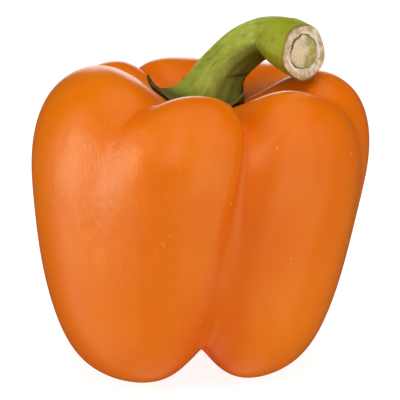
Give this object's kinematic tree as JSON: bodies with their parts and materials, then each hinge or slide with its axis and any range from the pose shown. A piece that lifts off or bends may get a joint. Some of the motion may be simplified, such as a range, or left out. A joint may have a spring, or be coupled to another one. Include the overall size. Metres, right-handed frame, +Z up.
{
  "type": "bell pepper",
  "caption": "Blocky lobed bell pepper standing on its blossom end, with a curved ridged stem, a small calyx and a cut stem end.",
  "frame": {"origin": "on the ground under the middle of the bounding box, stem included", "axes": "+Z up from the blossom end to the stem, -Y the side shown from the front, +X to the right of it"},
  "size_m": [0.0892, 0.09, 0.0944],
  "materials": {
    "skin": "glossy waxy orange skin",
    "stem": "satin yellow-green stem and darker calyx"
  },
  "bodies": {
    "root": {"fruit": "skin", "stem": "stem"}
  },
  "joints": []
}
